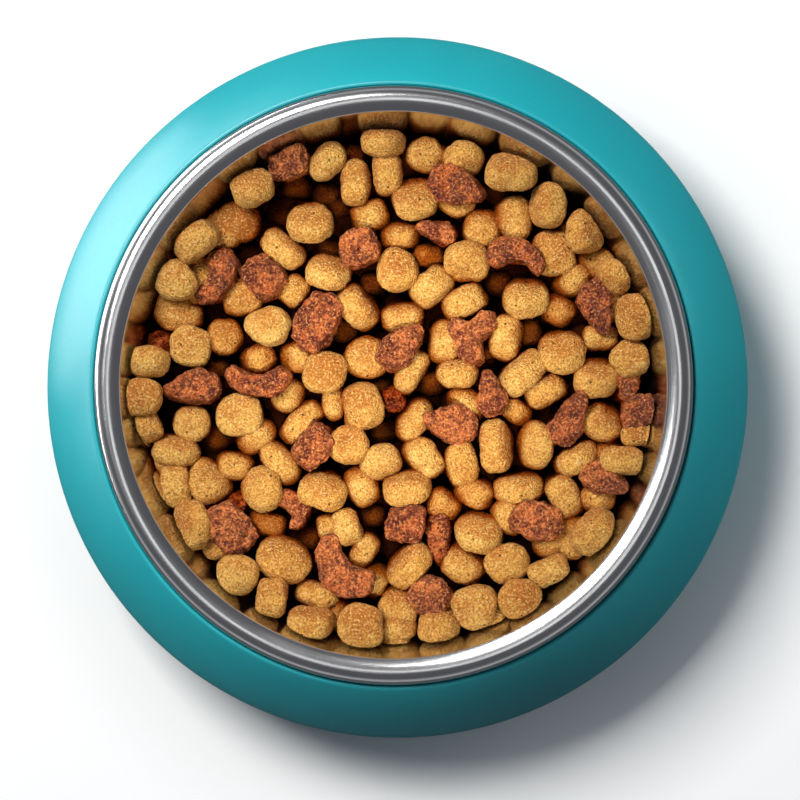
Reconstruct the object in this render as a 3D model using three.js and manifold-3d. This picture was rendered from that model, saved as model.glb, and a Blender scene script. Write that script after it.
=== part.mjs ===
// Pet food bowl: a moulded holder, a stainless steel insert bowl, and dry kibble that fills it.
// Millimetres, +Z up. The origin is on the table, under the middle of the bowl.
import * as THREE from "three";
import { mergeVertices } from "three/addons/utils/BufferGeometryUtils.js";
import Module from "manifold-3d";

const wasm = await Module();
wasm.setup();

// Holder
const BASE_DIAMETER = 175; // at its widest line
const WIDEST_HEIGHT = 26; // of that line above the table
const FLANK_RADIUS = 80; // of the slope from the collar towards that line
const EDGE_RADIUS = 9; // of the round edge that turns the slope upright
const UNDER_RADIUS = 50; // of the flank below its widest line
const HOLDER_WALL = 3;
const COLLAR_NOSE = 0.7; // radius of the rounded edge beside the bead
const COLLAR_RISE = 2; // of that edge above the ledge
const LEDGE_THICKNESS = 3;
const LEDGE_WIDTH = 5.1; // under the bead, from the collar in to the opening
const FOOT_ROUND = 2.5;
const GROOVE_SKIN = 1.2; // plastic left above the foot groove
const GROOVE_LIP = 2; // plastic inside the foot groove

// Steel bowl
const TOTAL_HEIGHT = 52; // table to the top of the bead
const RIM_DIAMETER = 145; // outside of the bead
const BEAD_DIAMETER = 5.8;
const SHEET = 0.6;
const CURL_TURN = 240; // degrees that the rim is curled through past its top
const CROWN_RADIUS = 6.6; // of the gentle slope from the top of the bead in to the wall
const CROWN_TURN = 30; // degrees that the slope turns through
const SHOULDER_ROUND = 0.8; // radius of the corner between that slope and the wall
const WALL_DRAFT = 16; // degrees off the vertical
const FLOOR_FILLET = 20; // inside radius between wall and floor
const FLOOR_HEIGHT = 5; // underside of the bowl above the table

// Non-slip ring
const RING_INSET = 11; // from the widest line in to the middle of the ring
const RING_WIDTH = 3;
const RING_HEIGHT = 2.7;
const RING_STANDOUT = 1; // below the foot

// Kibble
const HEADSPACE = 7; // top of the bead down to the tops of the highest kibbles
const LAYER_STEP = 3.4; // between the tops of kibbles that lie one layer apart
const KIBBLE_DIAMETER = 10.8;
const KIBBLE_THICKNESS = 7.6;
const CHUNK_THICKNESS = 7.5;
const CHUNK_ROUND = 1.5; // radius of a chunk's worn edges
const SEAT_DEPTH = 0.8; // how far the highest pieces sink between those under them
const SIDE_ON = 0.8; // a kibble that looks narrower than this share of its length lies on its side
const PILLOW_POWER = 2.6; // of the superellipse that gives a kibble its pillow form

// Clearances
const REST_GAP = 0.3; // between a piece and what it rests on or in

// Fineness of the round forms
const ROUND_STEPS = 44;
const KIBBLE_STEPS = 7;

// Lines that the pieces share
const baseRadius = BASE_DIAMETER / 2;
const rimRadius = RIM_DIAMETER / 2;
const beadRadius = BEAD_DIAMETER / 2;
const bead = { r: rimRadius - beadRadius, z: TOTAL_HEIGHT - beadRadius };
const crown = { r: bead.r, z: TOTAL_HEIGHT - CROWN_RADIUS };
const crownTurn = THREE.MathUtils.degToRad(CROWN_TURN);
const shoulder = {
  r: crown.r - (CROWN_RADIUS - SHOULDER_ROUND) * Math.sin(crownTurn),
  z: crown.z + (CROWN_RADIUS - SHOULDER_ROUND) * Math.cos(crownTurn),
};
const draft = THREE.MathUtils.degToRad(WALL_DRAFT);
const ledgeTop = bead.z - beadRadius - REST_GAP;
const ringRadius = baseRadius - RING_INSET;
const fillTop = TOTAL_HEIGHT - HEADSPACE;
const hiddenTop = fillTop - CHUNK_THICKNESS + SEAT_DEPTH;

// Radius at a height of the steel bowl's inner wall, which ends on the shoulder, moved in by an offset.
function wallRadius(z, offset = 0) {
  return shoulder.r - (shoulder.z - z) * Math.tan(draft) - (SHOULDER_ROUND + offset) / Math.cos(draft);
}

// Points on an arc from one angle to another, in degrees, as [radius, height].
function arc(centre, radius, from, to, steps) {
  return Array.from({ length: steps + 1 }, (_, i) => {
    const angle = THREE.MathUtils.degToRad(from + ((to - from) * i) / steps);
    return [centre.r + radius * Math.cos(angle), centre.z + radius * Math.sin(angle)];
  });
}

// A three.js geometry as a solid, with its shared vertices merged.
function solid(geometry) {
  const bare = new THREE.BufferGeometry();
  bare.setAttribute("position", geometry.getAttribute("position"));
  bare.setIndex(geometry.index);
  const merged = mergeVertices(bare, 1e-4);
  const corners = merged.index.array;
  const faces = [];
  for (let i = 0; i < corners.length; i += 3) {
    const [a, b, c] = corners.slice(i, i + 3);
    if (a !== b && b !== c && c !== a) faces.push(a, b, c);
  }
  return new wasm.Manifold(
    new wasm.Mesh({
      numProp: 3,
      vertProperties: merged.getAttribute("position").array,
      triVerts: new Uint32Array(faces),
    }),
  );
}

// A solid as a three.js geometry with flat faces.
function geometryOf(body) {
  const made = body.getMesh();
  const indexed = new THREE.BufferGeometry();
  indexed.setAttribute("position", new THREE.BufferAttribute(made.vertProperties, 3));
  indexed.setIndex(new THREE.BufferAttribute(made.triVerts, 1));
  const geometry = indexed.toNonIndexed();
  geometry.computeVertexNormals();
  return geometry;
}

// The largest of a solid's separate bodies: a cut can leave crumbs beside it.
function largest(body) {
  const bodies = body.decompose();
  return bodies.reduce((best, next) => (next.volume() > best.volume() ? next : best));
}

// A closed outline of [radius, height] points, turned about the Z axis.
function turned(outline, steps = ROUND_STEPS) {
  const points = outline.map(([r, z]) => new THREE.Vector2(r, z));
  if (THREE.ShapeUtils.area(points) < 0) points.reverse();
  points.push(points[0].clone());
  return new THREE.LatheGeometry(points, steps).rotateX(Math.PI / 2);
}

// The inside of the steel bowl, moved in by an offset, from the middle of its floor to its bead.
function bowlInside(offset, steps) {
  const floorZ = FLOOR_HEIGHT + SHEET + offset;
  const radius = FLOOR_FILLET - offset;
  const cornerRadius = wallRadius(floorZ, offset);
  const toTangent = radius * Math.tan((Math.PI / 2 - draft) / 2);
  const centre = { r: cornerRadius - toTangent, z: floorZ + radius };
  return [
    [0, floorZ],
    ...arc(centre, radius, -90, -WALL_DRAFT, steps),
    [wallRadius(bead.z, offset), bead.z],
  ];
}

// From the wall over the shoulder and up the slope to the top of the bead, moved in by an offset.
function wallTop(offset, steps) {
  return [
    ...arc(shoulder, SHOULDER_ROUND + offset, 180 - WALL_DRAFT, 90 + CROWN_TURN, steps),
    ...arc(crown, CROWN_RADIUS + offset, 90 + CROWN_TURN, 90, steps).slice(1),
  ];
}

function holder() {
  const footZ = RING_STANDOUT;
  const recessRadius = rimRadius + REST_GAP;
  const nose = { r: recessRadius + COLLAR_NOSE, z: ledgeTop + COLLAR_RISE - COLLAR_NOSE };
  // The slope runs smoothly from the collar's nose into the round edge, which is upright at the widest line.
  const edge = { r: baseRadius - EDGE_RADIUS, z: WIDEST_HEIGHT };
  const [toNose, toEdge] = [FLANK_RADIUS - COLLAR_NOSE, FLANK_RADIUS - EDGE_RADIUS];
  const apart = Math.hypot(edge.r - nose.r, edge.z - nose.z);
  const along = (toNose ** 2 - toEdge ** 2 + apart ** 2) / (2 * apart);
  const aside = Math.sqrt(toNose ** 2 - along ** 2);
  const [ux, uz] = [(edge.r - nose.r) / apart, (edge.z - nose.z) / apart];
  const flank = { r: nose.r + along * ux + aside * uz, z: nose.z + along * uz - aside * ux };
  const angleTo = ({ r, z }) => THREE.MathUtils.radToDeg(Math.atan2(z - flank.z, r - flank.r));
  const [flankFrom, flankTo] = [angleTo(nose), angleTo(edge)];
  // Below it a wider arc draws the flank in, and runs smoothly into the rounded foot.
  const under = { r: baseRadius - UNDER_RADIUS, z: WIDEST_HEIGHT };
  const toFoot = UNDER_RADIUS - FOOT_ROUND;
  const footTurn = Math.asin((WIDEST_HEIGHT - footZ - FOOT_ROUND) / toFoot);
  const foot = { r: under.r + toFoot * Math.cos(footTurn), z: footZ + FOOT_ROUND };
  const footFrom = -THREE.MathUtils.radToDeg(footTurn);
  const grooveHalf = RING_WIDTH / 2 + REST_GAP;
  const grooveTop = RING_HEIGHT + REST_GAP;
  const flangeTop = grooveTop + GROOVE_SKIN;
  const lipRadius = ringRadius - grooveHalf - GROOVE_LIP;
  const innerUnder = UNDER_RADIUS - HOLDER_WALL;
  const innerFlank = FLANK_RADIUS - HOLDER_WALL;
  const angleAt = (z, centre, radius) => THREE.MathUtils.radToDeg(Math.asin((z - centre.z) / radius));
  const openingRadius = recessRadius - LEDGE_WIDTH;
  return turned([
    [recessRadius, ledgeTop],
    ...arc(nose, COLLAR_NOSE, 180, flankFrom, 3),
    ...arc(flank, FLANK_RADIUS, flankFrom, flankTo, 3).slice(1),
    ...arc(edge, EDGE_RADIUS, flankTo, 0, 3).slice(1),
    ...arc(under, UNDER_RADIUS, 0, footFrom, 3).slice(1),
    ...arc(foot, FOOT_ROUND, footFrom, -90, 2).slice(1),
    [ringRadius + grooveHalf, footZ],
    [ringRadius + grooveHalf, grooveTop],
    [ringRadius - grooveHalf, grooveTop],
    [ringRadius - grooveHalf, footZ],
    [lipRadius, footZ],
    [lipRadius, flangeTop],
    ...arc(under, innerUnder, angleAt(flangeTop, under, innerUnder), 0, 3),
    ...arc(edge, EDGE_RADIUS - HOLDER_WALL, 0, flankTo, 2).slice(1),
    ...arc(flank, innerFlank, flankTo, angleAt(ledgeTop - LEDGE_THICKNESS, flank, innerFlank), 2).slice(1),
    [openingRadius, ledgeTop - LEDGE_THICKNESS],
    [openingRadius, ledgeTop],
  ]);
}

function steelBowl() {
  return turned([
    ...bowlInside(0, 3).slice(0, -1),
    ...wallTop(0, 3),
    ...arc(bead, beadRadius, 90, 90 - CURL_TURN, 9).slice(1),
    ...arc(bead, beadRadius - SHEET, 90 - CURL_TURN, 90, 6),
    ...wallTop(-SHEET, 2).reverse().slice(1),
    ...bowlInside(-SHEET, 3).slice(0, -1).reverse(),
  ]);
}

function nonSlipRing() {
  const half = RING_WIDTH / 2;
  return turned([
    [ringRadius - half, 0],
    [ringRadius + half, 0],
    [ringRadius + half, RING_HEIGHT],
    [ringRadius - half, RING_HEIGHT],
  ]);
}

// How the kibble lies, read by eye from above in the units of the picture: places run right and down.
const SEEN_MIDDLE = { x: 393.1, y: 384.3 }; // of the bowl
const SEEN_FILL_RADIUS = 261.5;
const SEEN_KIBBLE = 44; // length of a common kibble

// Tan kibbles: x, y, length, width, degrees clockwise, and layers below the highest.
const TAN_KIBBLES = [
  [252, 187, 44, 40, 0, 0], [236, 219, 45, 42, 0, 1], [196, 240, 48, 33, -40, 0],
  [326, 159, 46, 34, -50, 0], [382, 140, 46, 32, 5, 1], [386, 170, 45, 30, 85, 0],
  [354, 181, 48, 31, 90, 0], [309, 221, 46, 42, 0, 0], [368, 214, 40, 34, -20, 1],
  [281, 246, 50, 32, 38, 0], [424, 153, 38, 37, 0, 1], [463, 157, 40, 36, 0, 1], [510, 172, 52, 42, 0, 0],
  [414, 197, 48, 43, 0, 0], [457, 197, 38, 38, 0, 1], [481, 227, 40, 40, 0, 1], [511, 217, 46, 40, 80, 0],
  [399, 233, 42, 32, -5, 1], [427, 254, 34, 26, 0, 1], [466, 260, 46, 42, 0, 0], [547, 205, 45, 37, 90, 0],
  [583, 233, 44, 38, 70, 0], [553, 252, 46, 46, 0, 0], [176, 280, 43, 40, 30, 0], [178, 311, 47, 36, 0, 1],
  [189, 345, 44, 42, 0, 0], [149, 361, 39, 32, 5, 0], [142, 396, 41, 40, 0, 0], [222, 335, 38, 37, 0, 1],
  [241, 295, 42, 40, 0, 1], [267, 325, 44, 41, 0, 0], [257, 357, 38, 30, -15, 1],
  [292, 289, 34, 30, -50, 1], [327, 271, 45, 36, 15, 0], [357, 305, 50, 36, 55, 0],
  [397, 269, 43, 43, 0, 0], [402, 315, 44, 36, 0, 1], [367, 356, 48, 45, 0, 1], [324, 371, 44, 43, 0, 0],
  [298, 354, 42, 36, 0, 1], [430, 285, 48, 33, -40, 0], [464, 300, 46, 32, -25, 0],
  [525, 297, 47, 42, 0, 0], [507, 336, 48, 36, 100, 0], [444, 340, 45, 34, 95, 1],
  [410, 370, 50, 28, -60, 0], [457, 371, 44, 33, 0, 0], [521, 372, 52, 34, -45, 0],
  [573, 277, 44, 30, -35, 1], [612, 276, 38, 32, 60, 1], [634, 316, 47, 42, 90, 0],
  [558, 308, 38, 34, 30, 1], [561, 351, 49, 44, 0, 0], [598, 336, 34, 26, 0, 1], [595, 377, 46, 42, 0, 0],
  [629, 358, 40, 38, 0, 1], [544, 390, 44, 30, -25, 0], [147, 424, 34, 26, 60, 1], [190, 422, 39, 36, 0, 0],
  [238, 414, 47, 44, 0, 0], [254, 435, 44, 32, -35, 1], [174, 449, 50, 33, 8, 0], [175, 485, 44, 30, 80, 1],
  [206, 481, 47, 41, 45, 0], [232, 465, 40, 30, 10, 1], [191, 524, 50, 40, 80, 0],
  [265, 522, 44, 28, 20, 1], [261, 488, 46, 42, 90, 0], [286, 394, 38, 32, -60, 1],
  [300, 421, 52, 28, -45, 0], [331, 400, 40, 24, 85, 1], [361, 405, 48, 43, 80, 0],
  [348, 444, 42, 40, 0, 0], [380, 461, 40, 36, -15, 0], [360, 486, 42, 34, 60, 1],
  [406, 487, 48, 38, -8, 0], [278, 461, 50, 30, 50, 0], [322, 489, 49, 41, 10, 0],
  [346, 526, 38, 28, 70, 0], [327, 528, 30, 22, 75, 1], [363, 549, 38, 27, -60, 1],
  [412, 418, 48, 34, -50, 0], [462, 405, 44, 40, 60, 1], [421, 457, 48, 36, 50, 0],
  [460, 462, 46, 34, 75, 0], [474, 490, 42, 34, 25, 1], [496, 445, 52, 36, 85, 0],
  [534, 444, 48, 38, 90, 0], [515, 410, 34, 26, 30, 1], [518, 486, 52, 34, -5, 0],
  [442, 503, 38, 32, 30, 1], [478, 531, 50, 42, 15, 0], [508, 515, 40, 30, 50, 1],
  [602, 421, 44, 40, 45, 0], [633, 433, 26, 24, 0, 1], [576, 458, 50, 28, -30, 0], [620, 459, 42, 28, 5, 0],
  [596, 497, 36, 28, 0, 1], [563, 495, 50, 33, 65, 0], [591, 530, 50, 36, -50, 0], [238, 573, 42, 41, 0, 0],
  [283, 558, 54, 46, 20, 0], [272, 596, 40, 31, 95, 0], [316, 594, 48, 27, 20, 0], [311, 620, 47, 32, 6, 0],
  [361, 624, 46, 45, 0, 0], [372, 581, 38, 28, -60, 1], [398, 605, 42, 38, 20, 0], [396, 627, 40, 26, 0, 1],
  [408, 563, 52, 38, -48, 0], [438, 625, 42, 32, 0, 1], [463, 562, 47, 41, 30, 0], [474, 605, 47, 44, 0, 0],
  [506, 562, 44, 42, 0, 0], [519, 597, 42, 42, 0, 0], [550, 540, 40, 33, -15, 1],
  [548, 569, 42, 27, -25, 0],
];

// Red-brown chunks: as above, with the form that each broke into.
const MEATY_CHUNKS = [
  [287, 160, 42, 40, -20, 0, "block"], [358, 247, 40, 38, -20, 0, "block"], [457, 185, 60, 42, 205, 0, "wedge"],
  [435, 230, 42, 26, 15, 1, "wedge"], [515, 254, 62, 34, 10, 0, "kidney"], [218, 276, 62, 34, 110, 0, "kidney"],
  [263, 275, 46, 38, 50, 0, "block"], [258, 380, 66, 32, 185, 0, "kidney"], [191, 387, 60, 38, -7, 0, "wedge"],
  [157, 340, 28, 24, 0, 1.5, "block"], [316, 321, 64, 40, -65, 0, "block"],
  [402, 345, 58, 38, 135, 0, "wedge"], [473, 333, 58, 50, -50, 0, "fork"], [490, 391, 45, 30, 80, 0, "wedge"],
  [596, 306, 56, 38, -105, 0, "wedge"], [625, 384, 34, 22, 95, 1, "block"], [638, 410, 40, 31, -20, 0, "block"],
  [569, 417, 58, 32, 115, 0, "wedge"], [392, 398, 26, 22, 80, 1.5, "block"], [448, 422, 58, 44, 10, 0, "wedge"],
  [605, 479, 50, 34, 205, 0, "wedge"], [312, 445, 48, 34, -55, 0, "block"], [234, 503, 26, 22, -40, 1.5, "block"],
  [228, 528, 58, 44, 45, 0, "block"], [293, 508, 42, 30, 65, 1, "kidney"], [404, 522, 42, 38, 0, 0, "block"],
  [438, 538, 54, 26, -95, 1, "wedge"], [535, 519, 52, 38, 10, 0, "block"], [429, 595, 44, 40, 30, 0, "block"],
  [341, 568, 74, 44, 230, 0, "kidney"],
];

// Outlines of the broken forms, each 2 long and 2 wide about its middle, with the blunt end at +x.
const CHUNK_OUTLINES = {
  block: [[-0.95, -0.7], [-0.2, -1], [0.75, -0.9], [1, -0.2], [0.85, 0.75], [0.1, 1], [-0.75, 0.85], [-1, 0.1]],
  wedge: [[-1, -0.2], [-0.3, -0.7], [0.5, -1], [1, -0.5], [0.95, 0.5], [0.4, 1], [-0.4, 0.65], [-0.95, 0.25]],
  kidney: [
    [-1, -0.5], [-0.6, -1], [-0.1, -0.45], [0.35, -0.4], [0.8, -1],
    [1, -0.3], [0.75, 0.5], [0.1, 1], [-0.6, 0.8], [-0.95, 0.1],
  ],
  fork: [
    [-1, -0.65], [-0.5, -1], [0, -0.4], [0.65, -0.6], [1, -0.15],
    [0.75, 0.3], [0.2, 0.35], [0, 0.95], [-0.5, 1], [-0.6, 0.3], [-0.9, -0.1],
  ],
};

// Where a piece of kibble lies, in millimetres and radians.
function placed([seenX, seenY, seenLength, seenWidth, clockwise, layer]) {
  const spread = wallRadius(fillTop, REST_GAP) / SEEN_FILL_RADIUS;
  const size = KIBBLE_DIAMETER / SEEN_KIBBLE;
  return {
    x: (seenX - SEEN_MIDDLE.x) * spread,
    y: (SEEN_MIDDLE.y - seenY) * spread,
    length: seenLength * size,
    width: seenWidth * size,
    turn: THREE.MathUtils.degToRad(-clockwise),
    top: fillTop - layer * LAYER_STEP,
  };
}

// One tan kibble: a pillow whose underside reaches down into the hidden layers.
function tanKibble(row) {
  const spot = placed(row);
  const onSide = spot.width < SIDE_ON * spot.length;
  const half = (onSide ? spot.length : KIBBLE_THICKNESS) / 2;
  const pillow = [90, 48, 0].map((degrees) => {
    const angle = THREE.MathUtils.degToRad(degrees);
    const power = 2 / PILLOW_POWER;
    return [Math.cos(angle) ** power, spot.top - half + half * Math.sin(angle) ** power];
  });
  const low = Math.min(spot.top - 2 * half, hiddenTop - SEAT_DEPTH);
  // A faceted outline is drawn a little larger, so that it covers as much as the round one.
  const corner = (2 * Math.PI) / KIBBLE_STEPS;
  const cover = Math.sqrt(corner / Math.sin(corner));
  return turned([...pillow, [0.5, low], [0, low]], KIBBLE_STEPS)
    .scale((cover * spot.length) / 2, (cover * spot.width) / 2, 1)
    .rotateZ(spot.turn)
    .translate(spot.x, spot.y, 0);
}

// One chunk, or with a gap the pocket that holds it, which is open above.
function meatyChunk(row, gap = 0) {
  const spot = placed(row);
  const round = CHUNK_ROUND;
  const outline = CHUNK_OUTLINES[row[6]].map(([x, y]) => {
    return new THREE.Vector2(x * (spot.length / 2 - round), y * (spot.width / 2 - round));
  });
  const depth = CHUNK_THICKNESS - 2 * round + (gap ? TOTAL_HEIGHT : 0);
  return new THREE.ExtrudeGeometry(new THREE.Shape(outline), {
    depth,
    bevelSize: round + gap,
    bevelThickness: round + gap,
    bevelSegments: 1,
  })
    .rotateZ(spot.turn)
    .translate(spot.x, spot.y, spot.top - CHUNK_THICKNESS + round);
}

// The room in the bowl that kibble can take, up past the bead.
function roomForKibble() {
  const inside = bowlInside(REST_GAP, 3);
  const [edge] = inside.at(-1);
  return turned([...inside, [edge, 2 * TOTAL_HEIGHT], [0, 2 * TOTAL_HEIGHT]]);
}

// The hidden layers: everything under the kibbles that show.
function hiddenLayers() {
  const inside = bowlInside(REST_GAP, 3).slice(0, -1);
  return turned([...inside, [wallRadius(hiddenTop, REST_GAP), hiddenTop], [0, hiddenTop]]);
}

const joined = (bodies) => wasm.Manifold.union(bodies);
const room = solid(roomForKibble());

function kibbleBed() {
  const heap = joined([
    solid(hiddenLayers()),
    ...TAN_KIBBLES.map((row) => solid(tanKibble(row))),
  ]);
  const pockets = joined(MEATY_CHUNKS.map((row) => solid(meatyChunk(row, REST_GAP))));
  return geometryOf(largest(heap.intersect(room).subtract(pockets)));
}

// Each chunk keeps clear of the steel and of the chunks before it.
function chunkGeometry(row, before) {
  const taken = before.map((other) => solid(meatyChunk(other, REST_GAP)));
  const whole = solid(meatyChunk(row)).intersect(room);
  return geometryOf(largest(taken.length ? whole.subtract(joined(taken)) : whole));
}

const tealPlastic = { color: 0x0a99a8, roughness: 0.38, metalness: 0 };
const stainlessSteel = { color: 0xc4c6c8, roughness: 0.2, metalness: 1 };
const darkRubber = { color: 0x2b2d2e, roughness: 0.9, metalness: 0 };
const tanBiscuit = { color: 0xc08a45, roughness: 0.9, metalness: 0 };
const redBiscuit = { color: 0x8a4425, roughness: 0.8, metalness: 0 };

const bowl = new THREE.Group();

function add(name, geometry, finish) {
  const mesh = new THREE.Mesh(geometry, new THREE.MeshStandardMaterial(finish));
  mesh.name = name;
  bowl.add(mesh);
}

add("holder", holder(), tealPlastic);
add("steel_bowl", steelBowl(), stainlessSteel);
add("non_slip_ring", nonSlipRing(), darkRubber);
add("kibble_bed", kibbleBed(), tanBiscuit);
MEATY_CHUNKS.forEach((row, i) => {
  const number = String(i + 1).padStart(2, "0");
  add("meaty_chunk_" + number, chunkGeometry(row, MEATY_CHUNKS.slice(0, i)), redBiscuit);
});

export default bowl;
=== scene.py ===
import math

import bpy
import numpy as np
from mathutils import Matrix, Vector


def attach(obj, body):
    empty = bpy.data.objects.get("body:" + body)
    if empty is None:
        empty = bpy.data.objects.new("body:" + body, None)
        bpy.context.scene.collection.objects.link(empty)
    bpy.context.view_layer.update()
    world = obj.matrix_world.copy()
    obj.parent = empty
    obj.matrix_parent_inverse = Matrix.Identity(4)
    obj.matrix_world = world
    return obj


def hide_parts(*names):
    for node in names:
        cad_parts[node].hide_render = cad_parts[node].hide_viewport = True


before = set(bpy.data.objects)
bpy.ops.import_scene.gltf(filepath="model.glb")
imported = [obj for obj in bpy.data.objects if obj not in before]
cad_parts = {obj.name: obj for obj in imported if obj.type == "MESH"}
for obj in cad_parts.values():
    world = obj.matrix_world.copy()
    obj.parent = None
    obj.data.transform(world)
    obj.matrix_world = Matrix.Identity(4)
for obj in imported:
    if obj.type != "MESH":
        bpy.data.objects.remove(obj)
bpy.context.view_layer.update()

MM = 0.001

# Holder, in millimetres
BASE_DIAMETER = 175
WIDEST_HEIGHT = 26
FLANK_RADIUS = 80
EDGE_RADIUS = 9
UNDER_RADIUS = 50
HOLDER_WALL = 3
COLLAR_NOSE = 0.7
COLLAR_RISE = 2
LEDGE_THICKNESS = 3
LEDGE_WIDTH = 5.1
FOOT_ROUND = 2.5
GROOVE_SKIN = 1.2
GROOVE_LIP = 2

# Steel bowl
TOTAL_HEIGHT = 52
RIM_DIAMETER = 145
BEAD_DIAMETER = 5.8
SHEET = 0.6
CURL_TURN = 240
CROWN_RADIUS = 6.6
CROWN_TURN = 30
SHOULDER_ROUND = 0.8
WALL_DRAFT = 16
FLOOR_FILLET = 20
FLOOR_HEIGHT = 5

# Non-slip ring
RING_INSET = 11
RING_WIDTH = 3
RING_HEIGHT = 2.7
RING_STANDOUT = 1
RING_ROUND = 0.5
RING_TREAD = 0.24  # depth of the two grooves in its underside

# Food
HEADSPACE = 7
LAYER_STEP = 3.4
KIBBLE_DIAMETER = 10.8
KIBBLE_THICKNESS = 7.6
KIBBLE_LUMPS = ((0.36, 4.2), (0.22, 2.1), (0.17, 1.25))  # heights with their wavelengths
KIBBLE_WAVES = ((2, 0.02), (3, 0.03), (4, 0.015), (5, 0.012))  # round the outline, with their sizes
LIES_FLAT = 0.92  # a kibble that looks wider than this share of its length doesn't lean
LEANING_WIDTH = 0.97  # of a leaning kibble's length
FACE_TO_BACK = 0.82  # share of the leaning kibbles
SHAKE = 7  # degrees that food is tipped by, more or less
FLAT_SHAKE = 8
TOP_SCATTER = (-0.5, 0.1)  # of its top about its layer's height
WALL_EASE = 1
WALL_CLIMB = 2.2  # its rise per millimetre that it would reach into the wall
EDGE_LIFT = 5  # the most that it rises there
SINK_MOST = 2.2  # where kibbles of one layer overlap
CHUNK_THICKNESS = 7.5
CHUNK_POWER = 4.2  # of the superellipse of its section
CHUNK_LUMPS = (0.95, 0.50, 0.24, 0.15)  # heights of its bends, ridges, finer ridges and crumb
CHUNK_WAVES = (6.5, 3.1, 1.6, 0.9)
RIDGE_LEVEL = 0.4  # about the ridges' mean, so that a chunk keeps its size
CHUNK_STANDS = 0.3  # above its layer's height
OUTLINE_STEPS = 480
OUTLINE_EASE = 17  # steps of the running mean to each side
HIDDEN_LAYER = 2.6  # layers below the highest, of the kibbles that hardly show
HEX_ROW = 0.866  # from row to row of a hexagonal packing, in kibbles
BED_LAYER = 4.2  # of the bed beneath them
BED_LUMPS = (1.6, 9.0)
BED_EDGE = 4  # over which its lumps fade out at the wall
NOISE_SPAN = 200  # in which each piece draws its place
NOISE_STEP = 40  # between a chunk's octaves
SHADE_FROM = 2.6  # below the highest tops, where the painted shade between kibbles begins; it is fullest at SHADE_TO
SHADE_TO = 9

# Clearances
REST_GAP = 0.3

# Lines that the pieces share
DRAFT = math.radians(WALL_DRAFT)
CROWN_ANGLE = math.radians(CROWN_TURN)
BASE_RADIUS = BASE_DIAMETER / 2
RIM_RADIUS = RIM_DIAMETER / 2
BEAD_RADIUS = BEAD_DIAMETER / 2
BEAD = (RIM_RADIUS - BEAD_RADIUS, TOTAL_HEIGHT - BEAD_RADIUS)
CROWN = (BEAD[0], TOTAL_HEIGHT - CROWN_RADIUS)
SHOULDER = (CROWN[0] - (CROWN_RADIUS - SHOULDER_ROUND) * math.sin(CROWN_ANGLE),
            CROWN[1] + (CROWN_RADIUS - SHOULDER_ROUND) * math.cos(CROWN_ANGLE))
LEDGE_TOP = BEAD[1] - BEAD_RADIUS - REST_GAP
RING_RADIUS = BASE_RADIUS - RING_INSET
FILL_TOP = TOTAL_HEIGHT - HEADSPACE
ROUND_STEPS = 288
SHARP_EDGE = math.radians(50)

# How the food lies, seen from above: places run right and down in the picture's units
SEEN_MIDDLE = (393.1, 384.3)
SEEN_FILL_RADIUS = 261.5
SEEN_KIBBLE = 44

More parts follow.
